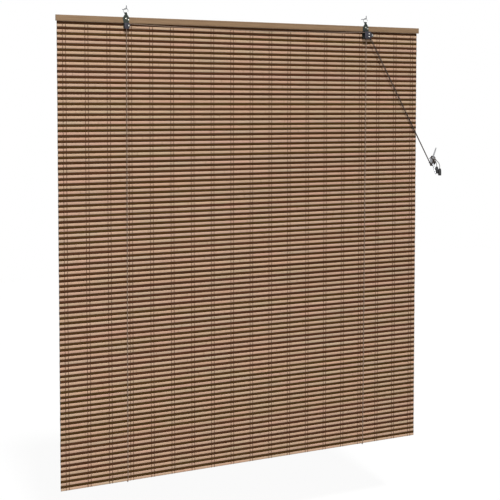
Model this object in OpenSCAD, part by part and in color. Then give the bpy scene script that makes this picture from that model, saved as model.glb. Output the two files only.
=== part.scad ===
// Bamboo roll up blind: a woven mat of light and dark slats under a head rail, hung from two wall hooks,
// with a pulley on the left, a pulley with a cord lock on the right, and a wall cleat for the pull cords.
// Millimetres. +X to the right along the blind, +Y into the wall, +Z up.
// The origin is on the wall face, midway between the hook shanks.

/* [Blind] */
// Width of the head rail
blind_w = 1500; // [600:10:2400]
// Height from the top of the rail to the bottom of the mat
drop = 1600; // [600:10:3000]
// How far the rail reaches past the mat at each end
rail_overhang = 5; // [0:0.5:20]
// Height of the head rail
rail_h = 20; // [16:0.5:40]
// Thickness of the head rail
rail_t = 6; // [4:0.5:15]
// Rounding of the rail's long edges
rail_round = 1; // [0.3:0.1:2]
// From the hook shanks down to the top of the rail
rail_below_hook = 27; // [22:0.5:60]
// From the back of the mat to the wall
wall_gap = 5; // [4:0.5:30]

/* [Slats] */
// Height of a light slat
light_h = 9.2; // [5:0.1:20]
// Height of a dark slat
dark_h = 8; // [4:0.1:20]
// Thickness of a light slat
light_t = 3.2; // [2:0.1:6]
// Thickness of a dark slat
dark_t = 2.6; // [2:0.1:6]
// Least groove between two slats
groove_least = 0.36; // [0.2:0.02:1.5]
// Rounding of the slats' front edges
slat_round = 1.1; // [0.3:0.1:1.5]
// Thickness of the wall under a groove
web_t = 1; // [0.6:0.1:1.5]
// Depth of the notch between two slats on the back
back_notch = 0.3; // [0.1:0.05:0.4]
// From the top of the rail to the first light slat in view
first_slat = 30; // [22:0.5:60]
// Least distance from the top of the rail to the top of the mat
mat_top_gap = 2; // [0:0.5:10]

/* [Warp threads and staples] */
// Pairs of warp threads across the mat
thread_pairs = 19; // [3:1:31]
// From the edge of the mat to the middle of the outermost pair
thread_edge = 25; // [12:1:60]
// Distance between the two threads of a pair
thread_gap = 11; // [4:0.5:20]
// Width of a thread
thread_w = 1.6; // [0.8:0.1:3]
// Height of a thread over the slats
thread_t = 0.6; // [0.3:0.1:1.2]
// Width of a staple's crown
staple_w = 10; // [6:0.5:14]
// Thickness of a staple's wire
staple_wire = 0.8; // [0.5:0.1:1.2]
// How far the staples reach into the rail
staple_bite = 3; // [2:0.5:5]

/* [Hooks and rings] */
// From the end of the rail to each hook
hook_inset = 253; // [60:1:300]
// Wire diameter of a hook
hook_d = 3.5; // [2.5:0.1:6]
// Height of a hook's upturned end over its shank
hook_tip_h = 12; // [8:0.5:25]
// Radius of a hook's bend, at the middle of the wire
hook_bend = 4; // [3:0.5:6]
// Length of a hook's thread in the wall
hook_thread = 18; // [12:1:40]
// Mean diameter of a hook's thread
hook_thread_d = 2.8; // [2:0.1:5]
// Room between a ring and the start of a hook's bend
hook_room = 0.6; // [0.3:0.1:5]
// Outside diameter of a ring
ring_d = 19; // [14:0.5:30]
// Wire diameter of a ring
ring_wire = 1.8; // [1.2:0.1:3]

/* [Hangers] */
// Thickness of a hanger's steel
hanger_t = 1.5; // [1:0.1:3]
// Length of the rolled eye that holds the ring
eye_l = 8; // [5:0.5:10]
// Width of a hanger at its shoulders
shoulder_w = 25; // [20:0.5:40]
// From the top of the rail down to the middle of the shoulders
shoulder_drop = 4; // [2:0.5:8]
// Radius of the shoulders
shoulder_r = 4; // [2:0.5:6]
// Radius of a hanger screw's shank
screw_r = 1.5; // [1:0.1:2.5]
// Radius of a hanger screw's head
screw_head_r = 2.9; // [2:0.1:4]
// Height of a hanger screw's head
screw_head_h = 1.6; // [1:0.1:3]
// Sideways distance between a hanger's two screws
screw_step_x = 9; // [7:0.5:14]
// Height difference between a hanger's two screws
screw_step_z = 4; // [0:0.5:8]
// From the top of the rail down to the upper screw
screw_drop = 5; // [4:0.5:9]

/* [Pulleys] */
// From the bottom of the rail down to the sheave axles
axle_drop = 9; // [8.5:0.5:30]
// Radius of the sheave and cam pins
axle_r = 2; // [1.5:0.1:3]
// Radius of a sheave at its rims
sheave_r = 6.1; // [5:0.1:12]
// Width of a sheave
sheave_w = 6; // [4:0.1:10]
// Width of the left pulley
left_body_w = 18; // [16:0.5:40]
// Width of the right pulley, without the lobe for the lock
right_body_w = 27; // [26:0.5:60]
// From the sheave axle to the bottom of the left pulley
left_body_drop = 11; // [9:0.5:30]
// From the sheave axle to the bottom of the right pulley
right_body_drop = 18; // [16:0.5:40]
// Radius of the lower corners of the pulleys
body_corner = 6; // [2:0.5:8]
// Thickness of a front cheek
cheek_t = 1.2; // [0.8:0.1:3]

/* [Cord lock] */
// Radius of the guide roller
roller_r = 3.6; // [2.5:0.1:5]
// Radius of the guide roller's pin
roller_pin_r = 1.5; // [1:0.1:2]
// Space between the rim of the sheave and the guide roller
roller_space = 0.7; // [0.4:0.1:3]
// Radius of the lock cam over its teeth
cam_r = 6.2; // [5:0.1:9]
// Depth of the cam's teeth
cam_tooth = 0.6; // [0.3:0.1:1]
// Number of teeth round the cam
cam_teeth = 30; // [16:1:48]
// How far the cam's middle lies from its pin
cam_offset = 2; // [0.5:0.1:2.5]
// From the sheave axle down to the cam's pin
cam_pin_drop = 4.6; // [2:0.1:8]
// Radius of the lobe that holds the cam's pin
lobe_r = 5; // [4:0.5:8]

/* [Cords] */
// Diameter of a cord
cord_d = 2.4; // [1.6:0.1:3]
// Sag of the lift cord between the two pulleys
cord_sag = 9; // [2:0.5:30]

/* [Cleat] */
// From the end of the rail to the middle of the cleat
cleat_out = 78; // [40:1:300]
// From the hook shanks down to the middle of the cleat
cleat_drop = 543; // [300:1:1500]
// Length of the cleat from tip to tip
cleat_l = 106; // [80:1:160]
// Height of the cleat's body
cleat_body_l = 34; // [30:1:50]
// Width of the cleat's body
cleat_body_w = 10; // [9:0.5:16]
// How far the cleat's body stands off the wall
cleat_body_t = 12; // [9:0.5:20]
// Rim of the cleat's foot around its body
cleat_foot_rim = 3; // [2:0.5:5]
// Thickness of the cleat's foot
cleat_foot_t = 2.5; // [1.5:0.5:4]
// Distance of the horn tips from the wall
horn_tip_y = 28; // [22:0.5:40]
// Radius of a horn at its root
horn_root_r = 3.6; // [3:0.1:5]
// Radius of a horn at its tip
horn_tip_r = 2.4; // [1.5:0.1:3]
// Distance between the cleat's two screws
cleat_screw_step = 18; // [14:0.5:24]
// Radius of a cleat screw's thread
cleat_screw_r = 1.75; // [1.2:0.05:2.5]
// Radius of a cleat screw's shank
cleat_shank_r = 1.5; // [0.9:0.05:2.4]
// Length of a cleat screw in the wall
cleat_screw_in = 20; // [12:1:40]

/* [Cord on the cleat] */
// Thickness of the cord wound beside the cleat's body
hank_side = 5; // [3:0.5:8]
// Thickness of the cord wound over the cleat's front
hank_front = 7; // [3:0.5:12]

/* [Tassels] */
// Length of a tassel
tassel_l = 28; // [20:1:50]
// Largest radius of a tassel
tassel_r = 6.7; // [5:0.1:7]
// Wall of a tassel around its hollow
tassel_wall = 2.3; // [1.5:0.1:3]
// Depth of the hollow under a tassel
tassel_hollow = 15; // [10:1:20]

/* [Hidden] */
$fn = 48;
fit = 0.05; // running and rivet clearance, on the radius
side_gap = 0.3; // between turning pieces and what stands beside them
cord_r = cord_d / 2;

// Depths, from the wall towards the room
mat_back = -wall_gap;
mat_front = mat_back - light_t;
rail_front = mat_front - rail_t;
hanger_front = rail_front - hanger_t;
rear_mid = hanger_front - side_gap - sheave_w / 2;
front_mid = rear_mid - sheave_w - side_gap;
left_cheek_back = hanger_front - sheave_w - 2 * side_gap;
right_cheek_back = left_cheek_back - sheave_w - side_gap;

// Heights and the slats
rail_top = -rail_below_hook;
rail_bottom = rail_top - rail_h;
mat_w = blind_w - 2 * rail_overhang;
mat_bottom = rail_top - drop;
light_run = drop - first_slat - light_h;
light_count = 1 + floor(light_run / (light_h + dark_h + 2 * groove_least));
slat_pitch = light_run / (light_count - 1);
groove = (slat_pitch - light_h - dark_h) / 2;
slat_count = 2 * light_count + 2 * floor((first_slat - mat_top_gap) / slat_pitch);
thread_pitch = (mat_w - 2 * thread_edge) / (thread_pairs - 1);

// Hooks, rings and rolled eyes
hook_x = blind_w / 2 - hook_inset;
hook_r = hook_d / 2;
ring_rest = 0.1; // between a ring and its hook
ring_mid_r = (ring_d - ring_wire) / 2;
ring_z = hook_r + ring_rest - ring_mid_r + ring_wire / 2;
eye_rise = ring_mid_r - sqrt(ring_mid_r * ring_mid_r - eye_l * eye_l / 4);
eye_room = 0.35; // between a ring and the bore of its eye
eye_bore_r = ring_wire / 2 + eye_rise / 2 + eye_room;
eye_r = eye_bore_r + hanger_t;
eye_step = 0.2; // how far the rolled eye stands in front of the hanger
eye_y = hanger_front + eye_r - eye_step;
eye_z = ring_z - ring_mid_r + eye_rise / 2;
hook_front = eye_y - ring_wire / 2 - hook_room - hook_bend;
shoulder_z = rail_top - shoulder_drop;

// Pulleys: the cord rides half sunk in the sheave's groove
path_r = sheave_r;
groove_r = cord_r + side_gap;
axle_z = rail_bottom - axle_drop;
left_axle_x = -hook_x + path_r;
right_axle_x = hook_x + path_r;
flange_z = axle_z + path_r + cord_r + side_gap;
head_h = 1.2; // height of a rivet's head
head_over = 0.9; // how far a rivet's head reaches past its shank

// Cord lock: the cords run down between the guide roller and the cam
cord_down_x = right_axle_x + path_r;
roller_x = cord_down_x - cord_r - side_gap - roller_r;
roller_z = axle_z - sqrt(pow(sheave_r + roller_r + roller_space, 2) - pow(roller_x - right_axle_x, 2));
cam_clear = 0.4; // between the cords and the cam's teeth
wrap_r = cam_r + cam_clear + cord_r;
cam_lean = cam_offset * sqrt(0.5);
cam_mid = [cord_down_x + wrap_r, axle_z - cam_pin_drop - cam_lean];
cam_pin = [cam_mid[0] + cam_lean, cam_mid[1] + cam_lean];

// Cleat and the cord that is wound on it
cleat_x = blind_w / 2 + cleat_out;
cleat_z = -cleat_drop;
horn_root = [-cleat_body_t + horn_root_r, cleat_body_l / 2 - horn_root_r - 2];
horn_tip = [-horn_tip_y, cleat_l / 2 - horn_tip_r];
hank_clear = 0.3; // between the wound cord and the cleat
hank_w = cleat_body_w + 2 * hank_side;
hank_l = cleat_body_l + 2 * hank_side - 3;

// Route of the lift cords
cord_rest = 0.1; // between a cord and what it lies on
cord_back = mat_back + cord_rest + cord_r;
loop_y = (cord_back + mat_front - cord_rest - cord_r) / 2;
loop_r = cord_back - loop_y;
cord_top = rail_top - 4;

// Route of the pull cords: straight from the lock to the left of the cleat, then under its lower horn
arrive_x = -13;
arrive_z = -12;
front_under = [[-13, -12, -12], [-11, -9.5, -17], [-7, -7.2, -19.5], [-3, -6.4, -19]];
rear_under = [[-13, -9, -12], [-11, -6.6, -17], [-7, -4.6, -19.5], [-3, -3.9, -19]];
exit_run = 14; // from the cam to where a lift cord is called a pull cord
exit_start = 10; // straight start of a pull cord
arrive_v = [cleat_x + arrive_x - cam_mid[0], cleat_z + arrive_z - cam_mid[1]];
exit_turn = atan2(arrive_v[0], -arrive_v[1]) + asin(wrap_r / norm(arrive_v));
exit_way = [sin(exit_turn), 0, -cos(exit_turn)];
exit_at = [cam_mid[0] - wrap_r * cos(exit_turn), 0, cam_mid[1] - wrap_r * sin(exit_turn)];

// Routes of the tails, from the middle of the cleat, and the tops of the tassels
front_tail_points = [[7, -15, -6], [10, -18, -9], [11, -20, -14], [11, -20, -22]];
rear_tail_points = [[7, -15, 0], [14, -17, -1], [21, -19, -5], [25, -20, -13], [26, -20, -22], [26, -20, -30]];
tassel_shoulder = tassel_l - tassel_hollow;
knot_r = 2.8; // knot at the end of a tail
knot_clear = 0.1; // between a knot and its tassel

function mix(a, b, t) = a + (b - a) * t;
function unit(v) = v / norm(v);
function arc(mid, r, from, to, steps) =
    [for (k = [0:steps]) let (a = mix(from, to, k / steps)) [mid[0] + r * cos(a), mid[1] + r * sin(a)]];
function arc_at(mid, r, from, to, steps, y) = [for (p = arc(mid, r, from, to, steps)) [p[0], y, p[1]]];
function moved(points, by) = [for (p = points) p + by];
function mirrored(points) = [for (k = [len(points) - 1:-1:0]) [-points[k][0], points[k][1]]];

// Slats are counted upward from the bottom edge: even ones are light, odd ones dark
function slat_h(i) = i % 2 == 0 ? light_h : dark_h;
function slat_t(i) = i % 2 == 0 ? light_t : dark_t;
function slat_base(i) = mat_bottom + floor(i / 2) * slat_pitch + (i % 2) * (light_h + groove);
function slat_front(i) =
    let (low = slat_base(i), high = low + slat_h(i), y = mat_back - slat_t(i), r = slat_round)
    concat([[mat_back - web_t, low]],
           [for (a = [0:45:90]) [y + r * (1 - sin(a)), low + r * (1 - cos(a))]],
           [for (a = [90:-45:0]) [y + r * (1 - sin(a)), high - r * (1 - cos(a))]],
           [[mat_back - web_t, high]]);
function back_groove(i) =
    let (low = slat_base(i))
    [[mat_back, low], [mat_back - back_notch, low - groove / 2], [mat_back, low - groove]];

// Outline of a hanger: body with round lower corners, shoulders, and the neck that carries the eye
function hanger_side(body_w, body_drop) =
    concat(arc([body_w / 2 - body_corner, axle_z - body_drop + body_corner], body_corner, -90, 0, 5),
           [[body_w / 2, flange_z]],
           arc([shoulder_w / 2 - shoulder_r, shoulder_z], shoulder_r, -20, 50, 4),
           [[eye_l / 2, eye_z - eye_r]],
           [[eye_l / 2, eye_z]]);
function hanger_outline(body_w, body_drop) =
    concat(hanger_side(body_w, body_drop), mirrored(hanger_side(body_w, body_drop)));

// A cord is a tube of flat sides swept along its route, with the side vector carried from ring to ring
function way(p, i) = unit(p[min(i + 1, len(p) - 1)] - p[max(i - 1, 0)]);
function carried(v, t) = unit(v - (v * t) * t);
function side_vectors(p, i, v) =
    i == len(p) ? [] : let (s = carried(v, way(p, i))) concat([s], side_vectors(p, i + 1, s));

module cord_tube(p) {
    sides = 8;
    last = len(p) - 1;
    s = side_vectors(p, 0, unit(cross(way(p, 0), [0, 1, 0.1])));
    rings = [for (i = [0:last]) for (k = [0:sides - 1])
        p[i] + cord_r * (cos(360 * k / sides) * s[i] + sin(360 * k / sides) * cross(way(p, i), s[i]))];
    walls = [for (i = [0:last - 1]) for (k = [0:sides - 1])
        let (a = i * sides + k, b = i * sides + (k + 1) % sides)
        each [[a, a + sides, b + sides], [a, b + sides, b]]];
    start = [for (k = [0:sides - 1]) k];
    end = [for (k = [sides - 1:-1:0]) last * sides + k];
    polyhedron(rings, concat(walls, [start], [end]));
}

// A flat piece parallel to the wall: its outline is in X and Z, and it grows from y towards the room
module plate(y, t) {
    translate([0, y, 0]) rotate([90, 0, 0]) linear_extrude(t) children();
}

// A round piece along Y that starts at y and grows towards the room
module rod(x, y, z, h, r) {
    translate([x, y, z]) rotate([90, 0, 0]) cylinder(h = h, r = r);
}

module slot_outline(l, w) {
    square([w, l - w], center = true);
    translate([0, (l - w) / 2]) circle(d = w);
    translate([0, (w - l) / 2]) circle(d = w);
}

module lobe_outline() {
    polygon(concat([[hook_x, axle_z - right_body_drop + body_corner]],
                   arc(cam_pin, lobe_r, -60, 70, 8),
                   [[hook_x, flange_z]]));
}

// The rail's long edges are rounded, and the hangers' screws go into it
module head_rail() {
    low = rail_bottom + rail_round;
    high = rail_top - rail_round;
    back = mat_front - rail_round;
    front = rail_front + rail_round;
    color("#9a7d60")
    difference() {
        rotate([90, 0, 90]) linear_extrude(blind_w, center = true)
            polygon(concat(arc([back, high], rail_round, 0, 90, 4),
                           arc([front, high], rail_round, 90, 180, 4),
                           arc([front, low], rail_round, 180, 270, 4),
                           arc([back, low], rail_round, 270, 360, 4)));
        for (side = [-1, 1]) screw_places(side * hook_x) rod(0, mat_front + 1, 0, rail_t + 2, screw_r + fit);
    }
}

module slat_mat() {
    color("#b08c6c")
    rotate([90, 0, 90]) linear_extrude(mat_w, center = true)
        polygon(concat([for (i = [0:slat_count - 1]) each slat_front(i)],
                       [[mat_back, slat_base(slat_count - 1) + slat_h(slat_count - 1)]],
                       [for (i = [slat_count - 1:-1:1]) each back_groove(i)],
                       [[mat_back, mat_bottom]]));
}

module warp_threads() {
    mat_top = slat_base(slat_count - 1) + slat_h(slat_count - 1);
    color("#8a6c50")
    for (k = [0:thread_pairs - 1]) for (side = [-1, 1]) {
        x = (k - (thread_pairs - 1) / 2) * thread_pitch + side * thread_gap / 2;
        translate([x - thread_w / 2, mat_front - thread_t, mat_bottom])
            cube([thread_w, thread_t, rail_bottom - cord_rest - mat_bottom]);
        translate([x - thread_w / 2, mat_back, mat_bottom])
            cube([thread_w, thread_t, mat_top - mat_bottom]);
    }
}

// A staple driven from the back: a crown along X and two legs, y being the face under its crown
module staple(w, y) {
    legs = y - mat_front + staple_bite;
    translate([-w / 2, y, -staple_wire / 2]) cube([w, staple_wire, staple_wire]);
    for (x = [-w / 2, w / 2 - staple_wire])
        translate([x, y - legs, -staple_wire / 2]) cube([staple_wire, legs + staple_wire, staple_wire]);
}

module mat_staples() {
    color("#b9bcc0")
    for (k = [0.5:2:(thread_pairs - 1) / 2]) for (side = [-1, 1])
        translate([side * k * thread_pitch, 0, rail_top - rail_h / 2]) staple(staple_w, mat_back);
}

module cord_staples() {
    color("#b9bcc0")
    for (side = [-1, 1])
        translate([side * hook_x, 0, rail_top - rail_h / 2])
            staple(cord_d + 2 * cord_rest + 2 * staple_wire, cord_back + cord_r + cord_rest);
}

module hook(x) {
    bend_y = hook_front + hook_bend;
    cone = 5;
    rod(x, 0, 0, -bend_y, hook_r);
    rod(x, hook_thread - cone, 0, hook_thread - cone, hook_thread_d / 2);
    translate([x, hook_thread - cone, 0]) rotate([-90, 0, 0])
        cylinder(h = cone, r1 = hook_thread_d / 2, r2 = 0.3);
    translate([x, bend_y, hook_bend]) rotate([90, 0, 90])
        rotate([0, 0, 180]) rotate_extrude(angle = 90) translate([hook_bend, 0]) circle(r = hook_r);
    translate([x, hook_front, hook_bend]) cylinder(h = hook_tip_h - hook_bend - hook_r / 2, r = hook_r);
    translate([x, hook_front, hook_tip_h - hook_r / 2])
        cylinder(h = hook_r / 2, r1 = hook_r, r2 = hook_r / 2);
}

module left_hook() {
    color("#c4c6c8") hook(-hook_x);
}

module right_hook() {
    color("#c4c6c8") hook(hook_x);
}

module ring(x) {
    translate([x, eye_y, ring_z]) rotate([90, 0, 0])
        rotate_extrude() translate([ring_mid_r, 0]) circle(d = ring_wire);
}

module left_ring() {
    color("#c4c6c8") ring(-hook_x);
}

module right_ring() {
    color("#c4c6c8") ring(hook_x);
}

// The two places of a hanger's screws, from the hook's X
module screw_places(x) {
    translate([x, 0, rail_top - screw_drop]) children();
    translate([x + screw_step_x, 0, rail_top - screw_drop - screw_step_z]) children();
}

module hanger(x, outline) {
    difference() {
        union() {
            translate([x, 0, 0]) plate(rail_front, hanger_t) polygon(outline);
            translate([x - eye_l / 2, eye_y, eye_z]) rotate([0, 90, 0]) cylinder(h = eye_l, r = eye_r);
            children();
        }
        translate([x - eye_l / 2 - 1, eye_y, eye_z]) rotate([0, 90, 0]) cylinder(h = eye_l + 2, r = eye_bore_r);
        rod(x + path_r, rail_front + 1, axle_z, hanger_t + 2, axle_r + fit);
        screw_places(x) rod(0, rail_front + 1, 0, hanger_t + 2, screw_r + fit);
    }
}

module left_hanger() {
    color("#3c4043") hanger(-hook_x, hanger_outline(left_body_w, left_body_drop));
}

module right_hanger() {
    color("#3c4043")
    difference() {
        hanger(hook_x, hanger_outline(right_body_w, right_body_drop)) plate(rail_front, hanger_t) lobe_outline();
        lock_pin_holes(rail_front, hanger_t);
    }
}

module lock_pin_holes(y, t) {
    rod(roller_x, y + 1, roller_z, t + 2, roller_pin_r + fit);
    rod(cam_pin[0], y + 1, cam_pin[1], t + 2, axle_r + fit);
}

module hanger_screws(x) {
    screw_places(x) {
        rod(0, hanger_front, 0, screw_head_h * 0.5, screw_head_r);
        translate([0, hanger_front - screw_head_h * 0.5, 0]) rotate([90, 0, 0])
            cylinder(h = screw_head_h * 0.5, r1 = screw_head_r, r2 = screw_head_r * 0.6);
        rod(0, mat_front - 1, 0, rail_t + hanger_t - 1, screw_r);
    }
}

module left_hanger_screws() {
    color("#d2d2cc") hanger_screws(-hook_x);
}

module right_hanger_screws() {
    color("#d2d2cc") hanger_screws(hook_x);
}

// A front cheek hangs from a flange that is folded back to the hanger over the sheaves
module cheek_body(x, back, body_w, body_drop) {
    side = concat(arc([body_w / 2 - body_corner, axle_z - body_drop + body_corner], body_corner, -90, 0, 5),
                  [[body_w / 2, flange_z + cheek_t]]);
    translate([x, 0, 0]) plate(back, cheek_t) polygon(concat(side, mirrored(side)));
    translate([x - body_w / 2, back - cheek_t, flange_z]) cube([body_w, hanger_front - back + cheek_t, cheek_t]);
}

module left_cheek() {
    color("#4a4e55")
    difference() {
        cheek_body(-hook_x, left_cheek_back, left_body_w, left_body_drop);
        rod(left_axle_x, left_cheek_back + 1, axle_z, cheek_t + 2, axle_r + fit);
    }
}

module right_cheek() {
    color("#4a4e55")
    difference() {
        union() {
            cheek_body(hook_x, right_cheek_back, right_body_w, right_body_drop);
            plate(right_cheek_back, cheek_t) lobe_outline();
        }
        rod(right_axle_x, right_cheek_back + 1, axle_z, cheek_t + 2, axle_r + fit);
        lock_pin_holes(right_cheek_back, cheek_t);
    }
}

// A rivet through a hanger and its cheek, with a low head at both ends
module rivet(x, z, cheek_back, r) {
    front = cheek_back - cheek_t;
    rod(x, rail_front + head_h / 2, z, rail_front + head_h / 2 - front, r);
    rod(x, rail_front + head_h / 2, z, head_h / 2, r + head_over);
    rod(x, front, z, head_h / 2, r + head_over);
    translate([x, front - head_h / 2, z]) rotate([90, 0, 0])
        cylinder(h = head_h / 2, r1 = r + head_over, r2 = r);
}

module left_axle() {
    color("#d2d2cc") rivet(left_axle_x, axle_z, left_cheek_back, axle_r);
}

module right_axle() {
    color("#d2d2cc") rivet(right_axle_x, axle_z, right_cheek_back, axle_r);
}

module guide_pin() {
    color("#d2d2cc") rivet(roller_x, roller_z, right_cheek_back, roller_pin_r);
}

module cam_pivot() {
    color("#d2d2cc") rivet(cam_pin[0], cam_pin[1], right_cheek_back, axle_r);
}

// A sheave: a ring with a half-round groove
module sheave(x, mid) {
    translate([x, mid, axle_z]) rotate([90, 0, 0]) rotate_extrude()
        difference() {
            translate([axle_r + fit, -sheave_w / 2]) square([sheave_r - axle_r - fit, sheave_w]);
            translate([path_r, 0]) circle(r = groove_r);
        }
}

module left_sheave() {
    color("#56585a") sheave(left_axle_x, rear_mid);
}

module rear_sheave() {
    color("#56585a") sheave(right_axle_x, rear_mid);
}

module front_sheave() {
    color("#56585a") sheave(right_axle_x, front_mid);
}

module guide_roller() {
    color("#56585a")
    difference() {
        rod(roller_x, hanger_front - side_gap, roller_z, 2 * sheave_w + side_gap, roller_r);
        rod(roller_x, hanger_front + 1, roller_z, 2 * sheave_w + 3, roller_pin_r + fit);
    }
}

// The cam is an off-centre toothed wheel: turned down, it draws away from the cords
module lock_cam() {
    steps = 2 * cam_teeth;
    color("#6a6c6e")
    difference() {
        plate(hanger_front - side_gap, 2 * sheave_w + side_gap)
            polygon([for (k = [0:steps - 1]) let (r = cam_r - (k % 2) * cam_tooth)
                [cam_mid[0] + r * cos(360 * k / steps), cam_mid[1] + r * sin(360 * k / steps)]]);
        rod(cam_pin[0], hanger_front + 1, cam_pin[1], 2 * sheave_w + 3, axle_r + fit);
    }
}

// Down the back, round the bottom edge and to the front
function lift_start(x) =
    concat([[x, cord_back, cord_top]],
           [for (p = arc([loop_y, mat_bottom], loop_r, 0, -180, 4)) [x, p[0], p[1]]]);
// Down from the sheave, round the cam and out of the lock
function lift_end(y) =
    concat(arc_at(cam_mid, wrap_r, 180, 180 + exit_turn, 2, y), [exit_at + [0, y, 0] + exit_run * exit_way]);

module left_lift_cord() {
    span = [for (k = [1:7]) let (u = k / 8)
        [mix(left_axle_x, right_axle_x, u), mix(rear_mid, front_mid, u),
         axle_z + path_r - 4 * cord_sag * u * (1 - u)]];
    color("#7d6350")
    cord_tube(concat(lift_start(-hook_x),
                     arc_at([left_axle_x, axle_z], path_r, 180, 90, 4, rear_mid),
                     span,
                     arc_at([right_axle_x, axle_z], path_r, 90, 0, 4, front_mid),
                     lift_end(front_mid)));
}

module right_lift_cord() {
    color("#7d6350")
    cord_tube(concat(lift_start(hook_x),
                     arc_at([right_axle_x, axle_z], path_r, 180, 0, 8, rear_mid),
                     lift_end(rear_mid)));
}

module pull_cord(y, under) {
    start = exit_at + [0, y, 0] + exit_run * exit_way;
    cord_tube(concat([start, start + exit_start * exit_way], moved(under, [cleat_x, 0, cleat_z])));
}

module front_pull_cord() {
    color("#5a463a") pull_cord(front_mid, front_under);
}

module rear_pull_cord() {
    color("#5a463a") pull_cord(rear_mid, rear_under);
}

// Body and horns of the cleat; grow makes the larger copy that the wound cord is cut back to
module cleat_form(grow) {
    translate([cleat_x, 0, cleat_z]) {
        plate(0, cleat_body_t + grow) slot_outline(cleat_body_l + 2 * grow, cleat_body_w + 2 * grow);
        for (side = [-1, 1]) {
            run = horn_tip - horn_root;
            translate([0, horn_root[0], side * horn_root[1]])
                rotate([side > 0 ? atan2(-run[0], run[1]) : 180 - atan2(-run[0], run[1]), 0, 0])
                    union() {
                        cylinder(h = norm(run), r1 = horn_root_r + grow, r2 = horn_tip_r + grow);
                        translate([0, 0, norm(run)]) sphere(r = horn_tip_r + grow + fit);
                    }
        }
    }
}

module cleat() {
    color("#a6a8ab")
    difference() {
        union() {
            cleat_form(0);
            translate([cleat_x, 0, cleat_z])
                plate(0, cleat_foot_t)
                    slot_outline(cleat_body_l + 2 * cleat_foot_rim, cleat_body_w + 2 * cleat_foot_rim);
        }
        for (side = [-1, 1]) translate([cleat_x, 0, cleat_z + side * cleat_screw_step / 2]) {
            rod(0, 1, 0, cleat_body_t + 2, cleat_screw_r + fit);
            translate([0, -cleat_body_t + cleat_screw_r, 0]) rotate([90, 0, 0])
                cylinder(h = cleat_screw_r + 0.01, r1 = cleat_screw_r + fit, r2 = 2 * cleat_screw_r + fit);
        }
    }
}

module cleat_screws() {
    color("#b9bcc0")
    for (side = [-1, 1]) translate([cleat_x, 0, cleat_z + side * cleat_screw_step / 2]) {
        rod(0, cleat_screw_in, 0, cleat_screw_in, cleat_screw_r);
        rod(0, 0, 0, cleat_body_t - cleat_screw_r, cleat_shank_r);
        translate([0, -cleat_body_t + cleat_screw_r, 0]) rotate([90, 0, 0])
            cylinder(h = cleat_screw_r, r1 = cleat_screw_r, r2 = 2 * cleat_screw_r);
    }
}

// The turns of cord round the cleat, as one solid of their outer shape
module cord_hank() {
    foot = cleat_foot_t + hank_clear;
    color("#49352a")
    difference() {
        translate([cleat_x, -foot, cleat_z])
            plate(0, cleat_body_t + hank_clear + hank_front - foot) slot_outline(hank_l, hank_w);
        cleat_form(hank_clear);
    }
}

module tail(points) {
    end = points[len(points) - 1] - [0, 0, tassel_shoulder + knot_r];
    cord_tube(moved(concat(points, [end]), [cleat_x, 0, cleat_z]));
}

module front_tail() {
    color("#5a463a") tail(front_tail_points);
}

module rear_tail() {
    color("#5a463a") tail(rear_tail_points);
}

// A tassel hangs on the knot that its shoulder rests on, inside the hollow
module tassel(points) {
    top = points[len(points) - 1];
    bore = cord_r + side_gap;
    translate(top + [cleat_x, 0, cleat_z]) rotate_extrude()
        polygon([[bore, 0],
                 [tassel_r * 0.5, 0],
                 [tassel_r * 0.8, -tassel_l * 0.1],
                 [tassel_r * 0.95, -tassel_l * 0.3],
                 [tassel_r, -tassel_l * 0.6],
                 [tassel_r * 0.97, -tassel_l * 0.92],
                 [tassel_r * 0.85, -tassel_l],
                 [tassel_r - tassel_wall, -tassel_l],
                 [tassel_r - tassel_wall, -tassel_shoulder],
                 [bore, -tassel_shoulder]]);
}

module front_tassel() {
    color("#1b1c1e") tassel(front_tail_points);
}

module rear_tassel() {
    color("#1b1c1e") tassel(rear_tail_points);
}

module tassel_knots() {
    color("#49352a")
    for (points = [front_tail_points, rear_tail_points])
        translate(points[len(points) - 1] + [cleat_x, 0, cleat_z - tassel_shoulder - knot_clear - knot_r])
            sphere(r = knot_r);
}

head_rail();
slat_mat();
warp_threads();
mat_staples();
cord_staples();
left_hook();
right_hook();
left_ring();
right_ring();
left_hanger();
right_hanger();
left_hanger_screws();
right_hanger_screws();
left_cheek();
right_cheek();
left_axle();
right_axle();
left_sheave();
rear_sheave();
front_sheave();
guide_pin();
guide_roller();
cam_pivot();
lock_cam();
left_lift_cord();
right_lift_cord();
front_pull_cord();
rear_pull_cord();
cleat();
cleat_screws();
cord_hank();
front_tail();
rear_tail();
front_tassel();
rear_tassel();
tassel_knots();
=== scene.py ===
import math
import random

import bmesh
import bpy
from mathutils import Matrix, Vector


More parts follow.
